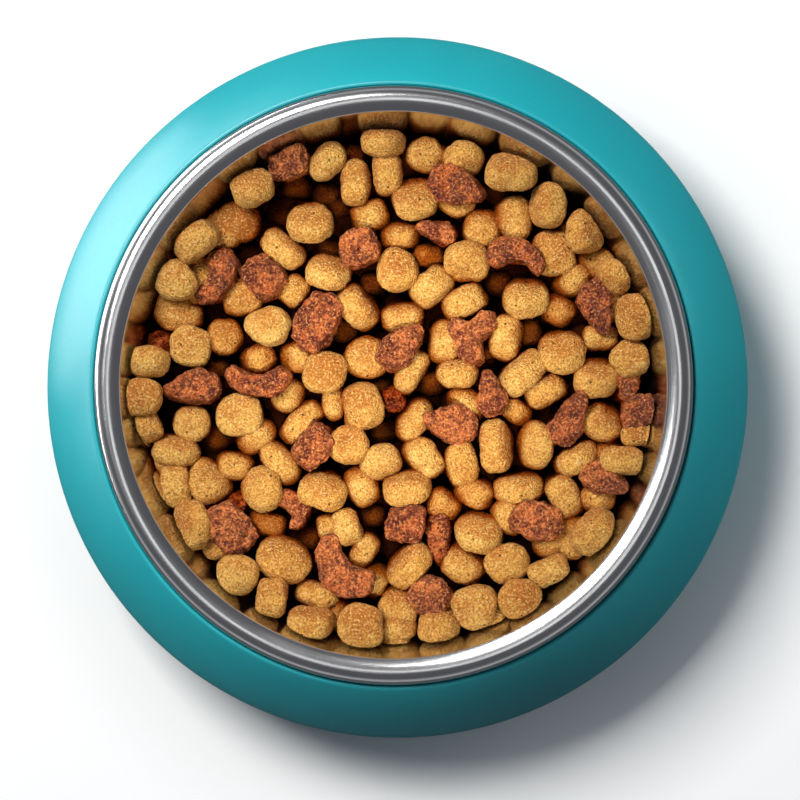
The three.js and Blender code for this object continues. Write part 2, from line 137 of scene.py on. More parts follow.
# Tan kibbles: x, y, length, width, degrees clockwise, layers below the highest
TAN_KIBBLES = np.array([
    [252, 187, 44, 40, 0, 0], [236, 219, 45, 42, 0, 1], [196, 240, 48, 33, -40, 0],
    [326, 159, 46, 34, -50, 0], [382, 140, 46, 32, 5, 1], [386, 170, 45, 30, 85, 0],
    [354, 181, 48, 31, 90, 0], [309, 221, 46, 42, 0, 0], [368, 214, 40, 34, -20, 1],
    [281, 246, 50, 32, 38, 0], [424, 153, 38, 37, 0, 1], [463, 157, 40, 36, 0, 1], [510, 172, 52, 42, 0, 0],
    [414, 197, 48, 43, 0, 0], [457, 197, 38, 38, 0, 1], [481, 227, 40, 40, 0, 1], [511, 217, 46, 40, 80, 0],
    [399, 233, 42, 32, -5, 1], [427, 254, 34, 26, 0, 1], [466, 260, 46, 42, 0, 0], [547, 205, 45, 37, 90, 0],
    [583, 233, 44, 38, 70, 0], [553, 252, 46, 46, 0, 0], [176, 280, 43, 40, 30, 0], [178, 311, 47, 36, 0, 1],
    [189, 345, 44, 42, 0, 0], [149, 361, 39, 32, 5, 0], [142, 396, 41, 40, 0, 0], [222, 335, 38, 37, 0, 1],
    [241, 295, 42, 40, 0, 1], [267, 325, 44, 41, 0, 0], [257, 357, 38, 30, -15, 1],
    [292, 289, 34, 30, -50, 1], [327, 271, 45, 36, 15, 0], [357, 305, 50, 36, 55, 0],
    [397, 269, 43, 43, 0, 0], [402, 315, 44, 36, 0, 1], [367, 356, 48, 45, 0, 1], [324, 371, 44, 43, 0, 0],
    [298, 354, 42, 36, 0, 1], [430, 285, 48, 33, -40, 0], [464, 300, 46, 32, -25, 0],
    [525, 297, 47, 42, 0, 0], [507, 336, 48, 36, 100, 0], [444, 340, 45, 34, 95, 1],
    [410, 370, 50, 28, -60, 0], [457, 371, 44, 33, 0, 0], [521, 372, 52, 34, -45, 0],
    [573, 277, 44, 30, -35, 1], [612, 276, 38, 32, 60, 1], [634, 316, 47, 42, 90, 0],
    [558, 308, 38, 34, 30, 1], [561, 351, 49, 44, 0, 0], [598, 336, 34, 26, 0, 1], [595, 377, 46, 42, 0, 0],
    [629, 358, 40, 38, 0, 1], [544, 390, 44, 30, -25, 0], [147, 424, 34, 26, 60, 1], [190, 422, 39, 36, 0, 0],
    [238, 414, 47, 44, 0, 0], [254, 435, 44, 32, -35, 1], [174, 449, 50, 33, 8, 0], [175, 485, 44, 30, 80, 1],
    [206, 481, 47, 41, 45, 0], [232, 465, 40, 30, 10, 1], [191, 524, 50, 40, 80, 0],
    [265, 522, 44, 28, 20, 1], [261, 488, 46, 42, 90, 0], [286, 394, 38, 32, -60, 1],
    [300, 421, 52, 28, -45, 0], [331, 400, 40, 24, 85, 1], [361, 405, 48, 43, 80, 0],
    [348, 444, 42, 40, 0, 0], [380, 461, 40, 36, -15, 0], [360, 486, 42, 34, 60, 1],
    [406, 487, 48, 38, -8, 0], [278, 461, 50, 30, 50, 0], [322, 489, 49, 41, 10, 0],
    [346, 526, 38, 28, 70, 0], [327, 528, 30, 22, 75, 1], [363, 549, 38, 27, -60, 1],
    [412, 418, 48, 34, -50, 0], [462, 405, 44, 40, 60, 1], [421, 457, 48, 36, 50, 0],
    [460, 462, 46, 34, 75, 0], [474, 490, 42, 34, 25, 1], [496, 445, 52, 36, 85, 0],
    [534, 444, 48, 38, 90, 0], [515, 410, 34, 26, 30, 1], [518, 486, 52, 34, -5, 0],
    [442, 503, 38, 32, 30, 1], [478, 531, 50, 42, 15, 0], [508, 515, 40, 30, 50, 1],
    [602, 421, 44, 40, 45, 0], [633, 433, 26, 24, 0, 1], [576, 458, 50, 28, -30, 0], [620, 459, 42, 28, 5, 0],
    [596, 497, 36, 28, 0, 1], [563, 495, 50, 33, 65, 0], [591, 530, 50, 36, -50, 0], [238, 573, 42, 41, 0, 0],
    [283, 558, 54, 46, 20, 0], [272, 596, 40, 31, 95, 0], [316, 594, 48, 27, 20, 0], [311, 620, 47, 32, 6, 0],
    [361, 624, 46, 45, 0, 0], [372, 581, 38, 28, -60, 1], [398, 605, 42, 38, 20, 0], [396, 627, 40, 26, 0, 1],
    [408, 563, 52, 38, -48, 0], [438, 625, 42, 32, 0, 1], [463, 562, 47, 41, 30, 0], [474, 605, 47, 44, 0, 0],
    [506, 562, 44, 42, 0, 0], [519, 597, 42, 42, 0, 0], [550, 540, 40, 33, -15, 1],
    [548, 569, 42, 27, -25, 0],
], float)

# Tan kibbles that peep through the gaps, two layers down
PEEPING_KIBBLES = np.array([
    [350, 154, 30, 28, 0, 2], [294, 183, 30, 28, 0, 2], [281, 210, 34, 34, 0, 2], [325, 192, 28, 28, 0, 2],
    [335, 205, 28, 26, 0, 2], [326, 246, 34, 24, 0, 2], [212, 368, 28, 22, 0, 2], [370, 281, 26, 24, 0, 2],
    [343, 329, 30, 24, 0, 2], [378, 386, 26, 22, 0, 2], [430, 382, 30, 26, 0, 2], [530, 331, 30, 24, 90, 2],
    [498, 280, 28, 26, 0, 2], [485, 355, 28, 22, 90, 2], [583, 333, 26, 22, 0, 2], [136, 430, 34, 22, 80, 2],
    [214, 437, 34, 32, 0, 2], [151, 492, 44, 26, 70, 2], [381, 430, 28, 24, 0, 2], [307, 537, 28, 26, 0, 2],
    [372, 515, 28, 25, 0, 2], [648, 434, 26, 18, -70, 2], [213, 548, 26, 22, 0, 2], [394, 643, 32, 20, 0, 2],
    [493, 618, 28, 22, -35, 2], [444, 642, 34, 20, 0, 2],
], float)

# Red-brown chunks: as above, with the form that each broke into
MEATY_CHUNKS = [
    (287, 160, 42, 40, -20, 0, "block"), (358, 247, 40, 38, -20, 0, "block"),
    (457, 185, 60, 42, 205, 0, "wedge"), (435, 230, 42, 26, 15, 1, "wedge"),
    (515, 254, 62, 34, 10, 0, "kidney"), (218, 276, 62, 34, 110, 0, "kidney"),
    (263, 275, 46, 38, 50, 0, "block"), (258, 380, 66, 32, 185, 0, "kidney"),
    (191, 387, 60, 38, -7, 0, "wedge"), (157, 340, 28, 24, 0, 1.5, "block"),
    (316, 321, 64, 40, -65, 0, "block"), (402, 345, 58, 38, 135, 0, "wedge"),
    (473, 333, 58, 50, -50, 0, "fork"), (490, 391, 45, 30, 80, 0, "wedge"),
    (596, 306, 56, 38, -105, 0, "wedge"), (625, 384, 34, 22, 95, 1, "block"),
    (638, 410, 40, 31, -20, 0, "block"), (569, 417, 58, 32, 115, 0, "wedge"),
    (392, 398, 26, 22, 80, 1.5, "block"), (448, 422, 58, 44, 10, 0, "wedge"),
    (605, 479, 50, 34, 205, 0, "wedge"), (312, 445, 48, 34, -55, 0, "block"),
    (234, 503, 26, 22, -40, 1.5, "block"), (228, 528, 58, 44, 45, 0, "block"),
    (293, 508, 42, 30, 65, 1, "kidney"), (404, 522, 42, 38, 0, 0, "block"),
    (438, 538, 54, 26, -95, 1, "wedge"), (535, 519, 52, 38, 10, 0, "block"),
    (429, 595, 44, 40, 30, 0, "block"), (341, 568, 74, 44, 230, 0, "kidney"),
]

# Outlines of the broken forms, each 2 long and 2 wide, with the point that their rings shrink towards
CHUNK_OUTLINES = {
    "block": ([[-0.95, -0.7], [-0.2, -1], [0.75, -0.9], [1, -0.2], [0.85, 0.75], [0.1, 1], [-0.75, 0.85],
               [-1, 0.1]], (0, 0)),
    "wedge": ([[-1, -0.2], [-0.3, -0.7], [0.5, -1], [1, -0.5], [0.95, 0.5], [0.4, 1], [-0.4, 0.65],
               [-0.95, 0.25]], (0.1, 0)),
    "kidney": ([[-1, -0.5], [-0.6, -1], [-0.1, -0.45], [0.35, -0.4], [0.8, -1], [1, -0.3], [0.75, 0.5],
                [0.1, 1], [-0.6, 0.8], [-0.95, 0.1]], (0.1, 0.15)),
    "fork": ([[-1, -0.65], [-0.5, -1], [0, -0.4], [0.65, -0.6], [1, -0.15], [0.75, 0.3], [0.2, 0.35],
              [0, 0.95], [-0.5, 1], [-0.6, 0.3], [-0.9, -0.1]], (0, 0)),
}


# Surfaces

NOISE_GAIN = 1.6
NOISE_DRAW = np.random.default_rng(7)
NOISE_ORDER = NOISE_DRAW.permutation(256)
NOISE_SLOPES = NOISE_DRAW.normal(size=(256, 3))
NOISE_SLOPES /= np.linalg.norm(NOISE_SLOPES, axis=1, keepdims=True)


def roughness_of(points, wavelength):
    """Gradient noise, about -1 to 1: at each corner of a cubic lattice a random slope times the way to it,
    blended between the corners by 6t^5 - 15t^4 + 10t^3."""
    scaled = points / wavelength
    cell = np.floor(scaled).astype(int)
    inside = scaled - cell
    ease = inside**3 * (inside * (6 * inside - 15) + 10)
    total = np.zeros(points.shape[:-1])
    for corner in np.ndindex(2, 2, 2):
        key = 0
        for axis in range(3):
            key = NOISE_ORDER[(key + cell[..., axis] + corner[axis]) & 255]
        share = np.prod(np.where(corner, ease, 1 - ease), axis=-1)
        total += share * np.einsum("...i,...i", NOISE_SLOPES[key], inside - corner)
    return NOISE_GAIN * total


def closed_faces(rows, cols, count=1):
    """Faces of count closed grids, each a pole, rows rings of cols points and a pole: quads between the
    rings, triangles at the poles. Returns the corner list and the size of each face."""
    ring = np.arange(cols)
    after = (ring + 1) % cols
    step = np.arange(rows - 1)[:, None] * cols + 1
    quads = np.stack([step + ring, step + cols + ring, step + cols + after, step + after], -1).reshape(-1, 4)
    last = rows * cols + 1
    tops = np.stack([np.zeros(cols, int), 1 + ring, 1 + after], -1)
    base = last - cols
    ends = np.stack([np.full(cols, last), base + after, base + ring], -1)
    one = np.concatenate([tops.ravel(), quads.ravel(), ends.ravel()])
    sizes = np.concatenate([np.full(cols, 3), np.full(len(quads), 4), np.full(cols, 3)])
    shift = np.arange(count)[:, None] * (last + 1)
    return (one[None] + shift).ravel(), np.tile(sizes, count)


def added(name, data):
    """A new object in the scene."""
    item = bpy.data.objects.new(name, data)
    bpy.context.scene.collection.objects.link(item)
    return item


def make_piece(name, points, corners, sizes, material, marks=None):
    """A mesh object at the origin from whole arrays: points in millimetres, corner list, face sizes, and
    marks, one float for each point under each name."""
    mesh = bpy.data.meshes.new(name)
    mesh.vertices.add(len(points))
    mesh.vertices.foreach_set("co", (np.asarray(points) * MM).astype(np.float32).ravel())
    mesh.loops.add(len(corners))
    mesh.loops.foreach_set("vertex_index", np.asarray(corners, np.int32))
    mesh.polygons.add(len(sizes))
    starts = np.concatenate([[0], np.cumsum(sizes)[:-1]])
    mesh.polygons.foreach_set("loop_start", starts.astype(np.int32))
    mesh.update(calc_edges=True)
    mesh.validate()
    for mark, values in (marks or {}).items():
        layer = mesh.attributes.new(mark, "FLOAT", "POINT")
        layer.data.foreach_set("value", np.asarray(values, np.float32))
    mesh.shade_smooth()
    mesh.set_sharp_from_angle(angle=SHARP_EDGE)
    mesh.materials.append(material)
    return added(name, mesh)


def rings_at(radius, height, angle):
    """Rings of points round the Z axis: x = r cos a, y = r sin a, z = height."""
    rings = np.broadcast_arrays(radius * np.cos(angle), radius * np.sin(angle), height + 0 * angle)
    return np.stack(rings, -1).reshape(-1, 3)


def lathe(profile, steps=ROUND_STEPS):
    """A profile of (radius, height) points carried round the Z axis: x = r cos a, y = r sin a, z = height.
    A profile that starts and ends on the axis gets two poles, and any other is a closed loop."""
    profile = np.asarray(profile, float)
    angle = np.linspace(0, 2 * math.pi, steps, endpoint=False)
    poles = profile[0, 0] == 0 and profile[-1, 0] == 0
    rings = profile[1:-1] if poles else profile
    points = rings_at(rings[:, :1], rings[:, 1:], angle)
    if poles:
        ends = [[0, 0, profile[0, 1]]], [[0, 0, profile[-1, 1]]]
        return np.concatenate([ends[0], points, ends[1]]), *closed_faces(len(rings), steps)
    row = np.arange(len(rings))[:, None]
    after = (row + 1) % len(rings)
    ring = np.arange(steps)
    beside = (ring + 1) % steps
    start, end = row * steps, after * steps
    quads = np.stack([start + ring, end + ring, end + beside, start + beside], -1)
    return points, quads.ravel(), np.full(quads.size // 4, 4)


def downward(profile):
    """The profile in the order that turns its faces outwards: a closed loop runs clockwise."""
    profile = np.asarray(profile, float)
    after = np.roll(profile, -1, 0)
    area = np.sum(profile[:, 0] * after[:, 1] - after[:, 0] * profile[:, 1])
    return profile[::-1] if area > 0 else profile


def arc(centre, radius, start, end, steps):
    """Points on an arc from one angle to another, in degrees."""
    angle = np.radians(np.linspace(start, end, steps + 1))
    return np.stack([centre[0] + radius * np.cos(angle), centre[1] + radius * np.sin(angle)], -1)


def wall_radius(z, offset=0):
    """Radius at a height of the steel's inner wall, which ends on the shoulder, moved in by an offset."""
    reach = (SHOULDER_ROUND + offset) / math.cos(DRAFT)
    return SHOULDER[0] - (SHOULDER[1] - z) * math.tan(DRAFT) - reach


def bowl_inside(offset, steps):
    """The inside of the steel bowl, moved in by an offset, from the middle of its floor up its fillet."""
    floor_z = FLOOR_HEIGHT + SHEET + offset
    radius = FLOOR_FILLET - offset
    centre = (wall_radius(floor_z, offset) - radius * math.tan((math.pi / 2 - DRAFT) / 2), floor_z + radius)
    return np.concatenate([[[0, floor_z]], arc(centre, radius, -90, -WALL_DRAFT, steps)])


def wall_top(offset, steps):
    """From the wall over the shoulder and up the slope to the top of the bead, moved in by an offset."""
    return np.concatenate([
        arc(SHOULDER, SHOULDER_ROUND + offset, 180 - WALL_DRAFT, 90 + CROWN_TURN, steps),
        arc(CROWN, CROWN_RADIUS + offset, 90 + CROWN_TURN, 90, 2 * steps)[1:],
    ])


def holder_profile():
    """The moulded shell's section: collar nose, a long slope, a round edge that is upright at the widest
    line, a wide arc drawn in below it, rounded foot, groove, inner wall, ledge."""
    recess = RIM_RADIUS + REST_GAP
    nose = np.array([recess + COLLAR_NOSE, LEDGE_TOP + COLLAR_RISE - COLLAR_NOSE])
    edge = np.array([BASE_RADIUS - EDGE_RADIUS, WIDEST_HEIGHT])
    to_nose, to_edge = FLANK_RADIUS - COLLAR_NOSE, FLANK_RADIUS - EDGE_RADIUS
    apart = math.dist(edge, nose)
    along = (to_nose**2 - to_edge**2 + apart**2) / (2 * apart)
    aside = math.sqrt(to_nose**2 - along**2)
    way = (edge - nose) / apart
    flank = nose + along * way + aside * np.array([way[1], -way[0]])
    flank_from, flank_to = (math.degrees(math.atan2(*(point - flank)[::-1])) for point in (nose, edge))
    under = (BASE_RADIUS - UNDER_RADIUS, WIDEST_HEIGHT)
    to_foot = UNDER_RADIUS - FOOT_ROUND
    foot_turn = math.asin((WIDEST_HEIGHT - RING_STANDOUT - FOOT_ROUND) / to_foot)
    foot = (under[0] + to_foot * math.cos(foot_turn), RING_STANDOUT + FOOT_ROUND)
    foot_from = -math.degrees(foot_turn)
    half = RING_WIDTH / 2 + REST_GAP
    groove_top = RING_HEIGHT + REST_GAP
    flange_top = groove_top + GROOVE_SKIN
    lip = RING_RADIUS - half - GROOVE_LIP
    inner_under, inner_flank = UNDER_RADIUS - HOLDER_WALL, FLANK_RADIUS - HOLDER_WALL
    opening = recess - LEDGE_WIDTH

    def angle_at(z, centre, radius):
        """The angle, in degrees, at which an arc passes a height."""
        return math.degrees(math.asin((z - centre[1]) / radius))

    return downward(np.concatenate([
        [[recess, LEDGE_TOP]],
        arc(nose, COLLAR_NOSE, 180, flank_from, 10),
        arc(flank, FLANK_RADIUS, flank_from, flank_to, 20)[1:],
        arc(edge, EDGE_RADIUS, flank_to, 0, 20)[1:],
        arc(under, UNDER_RADIUS, 0, foot_from, 16)[1:],
        arc(foot, FOOT_ROUND, foot_from, -90, 8)[1:],
        [[RING_RADIUS + half, RING_STANDOUT], [RING_RADIUS + half, groove_top]],
        [[RING_RADIUS - half, groove_top], [RING_RADIUS - half, RING_STANDOUT]],
        [[lip, RING_STANDOUT], [lip, flange_top]],
        arc(under, inner_under, angle_at(flange_top, under, inner_under), 0, 12),
        arc(edge, EDGE_RADIUS - HOLDER_WALL, 0, flank_to, 12)[1:],
        arc(flank, inner_flank, flank_to, angle_at(LEDGE_TOP - LEDGE_THICKNESS, flank, inner_flank), 12)[1:],
        [[opening, LEDGE_TOP - LEDGE_THICKNESS], [opening, LEDGE_TOP]],
    ]))


def steel_profile():
    """The drawn bowl's section from the middle of its floor, up the inside, round the curl and back down."""
    return np.concatenate([
        bowl_inside(0, 16),
        wall_top(0, 12),
        arc(BEAD, BEAD_RADIUS, 90, 90 - CURL_TURN, 56)[1:],
        arc(BEAD, BEAD_RADIUS - SHEET, 90 - CURL_TURN, 90, 36),
        wall_top(-SHEET, 8)[::-1][1:],
        bowl_inside(-SHEET, 16)[::-1],
    ])


def ring_profile():
    """The rubber ring's section: a strip with rounded corners and two shallow grooves underneath."""
    half, corner = RING_WIDTH / 2, RING_ROUND
    across = np.linspace(-1, 1, 25)
    tread = RING_TREAD / 2 * (1 - np.cos(2 * math.pi * across)) * (np.abs(across) < 0.999)
    under = np.stack([RING_RADIUS + across * (half - corner), tread], -1)
    return downward(np.concatenate([
        under,
        arc((RING_RADIUS + half - corner, corner), corner, -90, 0, 4)[1:],
        arc((RING_RADIUS + half - corner, RING_HEIGHT - corner), corner, 0, 90, 4),
        arc((RING_RADIUS - half + corner, RING_HEIGHT - corner), corner, 90, 180, 4),
        arc((RING_RADIUS - half + corner, corner), corner, 180, 270, 4)[:-1],
    ]))


def held_in(points):
    """Points kept inside the steel wall: the last ease before it is squeezed, by
    limit - ease exp(-over / ease), so that a kibble flattens where it leans on the steel."""
    radius = np.hypot(points[..., 0], points[..., 1])
    limit = wall_radius(points[..., 2], REST_GAP)
    over = np.maximum(radius - limit + WALL_EASE, 0)
    held = np.where(over > 0, limit - WALL_EASE * np.exp(-over / WALL_EASE), radius)
    moved = points.copy()
    moved[..., :2] *= (held / np.maximum(radius, 1e-9))[..., None]
    return moved


def depth_of(points):
    """Share of painted shade at each point, from its depth in the food: 0 near the highest tops, 1 where
    hardly any light comes down.
    """
    share = np.clip((FILL_TOP - points[..., 2] - SHADE_FROM) / (SHADE_TO - SHADE_FROM), 0, 1)
    return share * share * (3 - 2 * share)


def spots(rows):
    """Where food lies, in millimetres and radians, from its rows: x, y, length, width, turn, top."""
    x, y, length, width, clockwise, layer = np.asarray(rows, float).T
    spread = wall_radius(FILL_TOP, REST_GAP) / SEEN_FILL_RADIUS
    size = KIBBLE_DIAMETER / SEEN_KIBBLE
    return ((x - SEEN_MIDDLE[0]) * spread, (SEEN_MIDDLE[1] - y) * spread, length * size, width * size,
            np.radians(-clockwise), FILL_TOP - layer * LAYER_STEP)


def rotated(points, angle, first, second):
    """Points or directions turned from one axis towards another."""
    c, s = np.cos(angle), np.sin(angle)
    moved = points.copy()
    moved[..., first] = c * points[..., first] - s * points[..., second]
    moved[..., second] = s * points[..., first] + c * points[..., second]
    return moved


def lean_of(half_length, half_width, half_thick, power):
    """How far each kibble leans so that it looks as wide as it should, by search: a superellipse section
    of half sizes b and h reaches ((b cos q)^e + (h sin q)^e)^(1/e) sideways when it leans by q."""
    lean = np.radians(np.linspace(0, 90, 91))
    dual = (power / (power - 1))[:, None]
    across, upright = half_length[:, None] * np.cos(lean), half_thick[:, None] * np.sin(lean)
    reach = (across**dual + upright**dual) ** (1 / dual)
    return lean[np.argmin(np.abs(reach - half_width[:, None]), axis=1)]


def sink_of(rows):
    """How far each kibble sinks where it overlaps a larger piece of its own layer in plan: its overlap with
    the nearest such piece, within SINK_MOST."""
    pieces = np.concatenate([TAN_KIBBLES, [row[:6] for row in MEATY_CHUNKS]])
    x, y, length, width, _, top = spots(rows)
    px, py, p_length, p_width, _, p_top = spots(pieces)
    reach, p_reach = (length + width) / 4, (p_length + p_width) / 4
    apart = np.hypot(x[:, None] - px, y[:, None] - py)
    over = np.where((reach[:, None] < p_reach) & (top[:, None] == p_top), reach[:, None] + p_reach - apart, 0)
    return np.clip(over.max(1), 0, SINK_MOST)


def pillows(rows, rings, cols, seed, rough=1.0):
    """Kibbles as pillows. On a grid of t (pole to pole) and a (round): x = a cos^(2/p) t cos a, y likewise,
    z = h sin^(2/p) t, with a squarish, slightly wavy outline and gradient noise along the way out. Each
    is leaned, tipped, turned and set with its top at its layer's height. Returns points, faces, marks."""
    draw = np.random.default_rng(seed)
    x, y, length, width, turn, top = spots(rows)
    count = len(x)
    power = draw.uniform(2.3, 3.3, count)
    squarish = draw.uniform(2.0, 2.7, count)
    thick = np.minimum(KIBBLE_THICKNESS * draw.uniform(0.92, 1.08, count), width) / 2
    lean = lean_of(length / 2 * LEANING_WIDTH, width / 2, thick, power)
    face_on = width > LIES_FLAT * length
    lean[face_on] = 0
    across = np.where(face_on, width, length * LEANING_WIDTH) / 2
    tip = np.radians(draw.normal(0, SHAKE, count))
    lean += np.where(face_on, np.radians(draw.normal(0, FLAT_SHAKE, count)), 0)
    # A lean above 0 turns the upper face towards (sin turn, -cos turn). Most turn theirs to the back left.
    to_back = np.where(-0.5 * np.sin(turn) - 0.85 * np.cos(turn) > 0, 1, -1)
    lean = np.abs(lean) * to_back * np.where(draw.random(count) < FACE_TO_BACK, 1, -1)

    t = np.linspace(math.pi / 2, -math.pi / 2, rings + 2)[1:-1]
    around = np.linspace(0, 2 * math.pi, cols, endpoint=False)
    squash = (2 / power)[:, None, None]
    shrink = np.cos(t)[None, :, None] ** squash
    rise = np.sin(t)[None, :, None]
    rise = np.sign(rise) * np.abs(rise) ** squash
    m = squarish[:, None, None]
    plan = (np.abs(np.cos(around)) ** m + np.abs(np.sin(around)) ** m) ** (-1 / m)
    for wave, size in KIBBLE_WAVES:
        phase = draw.uniform(0, 2 * math.pi, (count, 1, 1))
        plan = plan * (1 + size * draw.normal(0, 1, (count, 1, 1)) * np.cos(wave * around + phase))
    flat = np.stack(np.broadcast_arrays(
        (length / 2)[:, None, None] * shrink * plan * np.cos(around),
        across[:, None, None] * shrink * plan * np.sin(around),
        thick[:, None, None] * rise,
    ), -1)
    poles = np.zeros((count, 2, 1, 3))
    poles[:, 0, 0, 2], poles[:, 1, 0, 2] = thick, -thick
    shape = np.concatenate([poles[:, :1, 0], flat.reshape(count, -1, 3), poles[:, 1:, 0]], 1)
    half = np.stack([length / 2, across, thick], -1)[:, None]
    out = shape / half**2
    out /= np.linalg.norm(out, axis=-1, keepdims=True)
    face = np.clip((np.abs(out[..., 2]) - 0.55) / 0.35, 0, 1)
    where = shape + draw.uniform(0, NOISE_SPAN, (count, 1, 3))
    lumps = sum(height * roughness_of(where, wavelength) for height, wavelength in KIBBLE_LUMPS)
    shape = shape + out * (rough * lumps)[..., None]

    for angle, first, second in ((lean, 1, 2), (tip, 2, 0), (turn, 0, 1)):
        shape = rotated(shape, angle[:, None], first, second)
        out = rotated(out, angle[:, None], first, second)
    lift = top + draw.uniform(*TOP_SCATTER, count) - sink_of(rows) - shape[..., 2].max(1)
    shape += np.stack([x, y, lift], -1)[:, None]
    reach = np.hypot(shape[..., 0], shape[..., 1]).max(1)
    middle = (shape[..., 2].max(1) + shape[..., 2].min(1)) / 2
    climb = np.clip((reach - wall_radius(middle, REST_GAP)) * WALL_CLIMB, 0, EDGE_LIFT)
    shape[..., 2] += climb[:, None]
    shape = held_in(shape)
    tone = np.repeat(draw.random(count), shape.shape[1])
    brown = 0.3 + 0.7 * draw.random(count)[:, None]
    # The marks carry painted light: the browning of the faces is real, but each kibble's side towards the
    # back (+Y) is also painted browner and its side towards the front paler; painted shade grows with depth
    # in the food.
    browning_and_painted_light = np.clip(face * brown * 0.8 + 0.5 * out[..., 1] - 0.05, 0, 1)
    corners, sizes = closed_faces(rings, cols, count)
    marks = {"tone": tone, "face": browning_and_painted_light.ravel(), "painted_shade": depth_of(shape).ravel()}
    return shape.reshape(-1, 3), corners, sizes, marks


def rounded_outline(form, cols):
    """A form's outline at cols points evenly along it, its corners eased by a running mean."""
    corners = np.array(CHUNK_OUTLINES[form][0] + CHUNK_OUTLINES[form][0][:1], float)
    along = np.concatenate([[0], np.cumsum(np.linalg.norm(np.diff(corners, axis=0), axis=1))])
    fine = np.linspace(0, along[-1], OUTLINE_STEPS, endpoint=False)
    line = np.stack([np.interp(fine, along, corners[:, i]) for i in (0, 1)], -1)
    line = np.concatenate([line[-OUTLINE_EASE:], line, line[:OUTLINE_EASE]])
    window = np.hanning(2 * OUTLINE_EASE + 1)
    window /= window.sum()
    eased = np.stack([np.convolve(line[:, i], window, "valid") for i in (0, 1)], -1)
    return eased[np.linspace(0, OUTLINE_STEPS, cols, endpoint=False).astype(int)]


def chunk(row, seed, rings=46, cols=96):
    """A broken chunk: its outline shrunk towards its middle from ring to ring by cos^(2/p) t, and thick by
    sin^(2/p) t, with ridged noise for crevices: each octave is 1 - 2 |noise|, added to a coarse one that
    bends the flat faces."""
    draw = np.random.default_rng(seed)
    x, y, length, width, turn, top = (float(v[0]) for v in spots([row[:6]]))
    outline = rounded_outline(row[6], cols)
    middle = np.array(CHUNK_OUTLINES[row[6]][1], float)
    half = np.array([length / 2, width / 2])
    t = np.linspace(math.pi / 2, -math.pi / 2, rings + 2)[1:-1, None]
    shrink = np.cos(t) ** (2 / CHUNK_POWER)
    thick = CHUNK_THICKNESS / 2
    rise = np.sign(np.sin(t)) * np.abs(np.sin(t)) ** (2 / CHUNK_POWER)
    plan = (middle + shrink[..., None] * (outline - middle)) * half
    grid = np.concatenate([plan, np.broadcast_to((thick * rise)[..., None], plan.shape[:2] + (1,))], -1)
    ends = np.array([[*(middle * half), thick], [*(middle * half), -thick]])
    shape = np.concatenate([ends[:1], grid.reshape(-1, 3), ends[1:]])
    out = (shape - [*(middle * half), 0]) / np.array([*half, thick]) ** 2
    out /= np.linalg.norm(out, axis=-1, keepdims=True)
    where = shape + draw.uniform(0, NOISE_SPAN, 3)
    bends, ridged, finer, crumb = (
        roughness_of(where + NOISE_STEP * i, wave) for i, wave in enumerate(CHUNK_WAVES))
    ridged, finer = 1 - 2 * np.abs(ridged), 1 - 2 * np.abs(finer)
    octaves = (bends, ridged - RIDGE_LEVEL, finer - RIDGE_LEVEL, crumb)
    lumps = sum(height * octave for height, octave in zip(CHUNK_LUMPS, octaves))
    shape = shape + out * lumps[:, None]
    # Painted shade: the crevices between the ridges are marked for a darker colour.
    crevice_shade = np.clip(0.5 - 0.5 * (0.6 * ridged + 0.4 * finer), 0, 1)
    lean, tip = np.radians(draw.normal(0, SHAKE, 2))
    for angle, first, second in ((lean, 1, 2), (tip, 2, 0), (turn, 0, 1)):
        shape = rotated(shape, angle, first, second)
    shape = held_in(shape + [x, y, top + CHUNK_STANDS - shape[:, 2].max()])
    corners, sizes = closed_faces(rings, cols)
    marks = {"tone": np.full(len(shape), draw.random()), "crevice_shade": crevice_shade, "painted_shade": depth_of(shape)}
    return shape, corners, sizes, marks


def hidden_rows(layer, seed):
    """Rows for a layer that hardly shows: a hexagonal packing, each place and size shaken."""
    draw = np.random.default_rng(seed)
    reach = SEEN_FILL_RADIUS - 20
    column, line = np.meshgrid(np.arange(-7, 8), np.arange(-8, 9))
    x = (column + 0.5 * (line % 2)) * SEEN_KIBBLE
    y = line * SEEN_KIBBLE * HEX_ROW
    keep = np.hypot(x, y) < reach
    x, y = x[keep], y[keep]
    count = len(x)
    x = x + draw.normal(0, 5, count) + SEEN_MIDDLE[0]
    y = y + draw.normal(0, 5, count) + SEEN_MIDDLE[1]
    length = draw.normal(46, 3, count)
    width = length * draw.uniform(0.7, 1, count)
    return np.stack([x, y, length, width, draw.uniform(0, 180, count), np.full(count, layer)], -1)


# Node helpers


def feed(tree, node, inputs):
    """Values or links put into a node's sockets, by name or number."""
    for key, value in inputs.items():
        if isinstance(value, bpy.types.NodeSocket):
            tree.links.new(value, node.inputs[key])
        else:
            node.inputs[key].default_value = value
    return node


def put(tree, kind, inputs=None, **settings):
    """One node: settings are its properties, and inputs its sockets' values or links."""
    node = tree.nodes.new("ShaderNode" + kind)
    for key, value in settings.items():
        setattr(node, key, value)
    return feed(tree, node, inputs or {})


def calc(tree, operation, first, second, clamp=False):
    """A Math node's result."""
    return put(tree, "Math", {0: first, 1: second}, operation=operation, use_clamp=clamp).outputs[0]


def times(tree, value, share):
    """A value times a share."""
    return calc(tree, "MULTIPLY", value, share)


def spread(tree, value, low, high, to_low=0.0, to_high=1.0):
    """A value's range mapped to another, eased at both ends."""
    return put(tree, "MapRange", {0: value, 1: low, 2: high, 3: to_low, 4: to_high},
               interpolation_type="SMOOTHSTEP", clamp=True).outputs[0]


def blended(tree, share, first, second, mode="MIX"):
    """Two colours blended by a share."""
    return put(tree, "Mix", {0: share, 6: first, 7: second}, data_type="RGBA", blend_type=mode).outputs[2]


def layered(tree, colour, *tints):
    """A colour with tints laid over it in turn, each by its mask."""
    for mask, tint in tints:
        colour = blended(tree, mask, colour, tint)
    return colour


def noise(tree, where, scale, detail, **inputs):
    """Noise at a scale per metre."""
    return put(tree, "TexNoise", {"Vector": where, "Scale": scale, "Detail": detail, **inputs}).outputs[0]


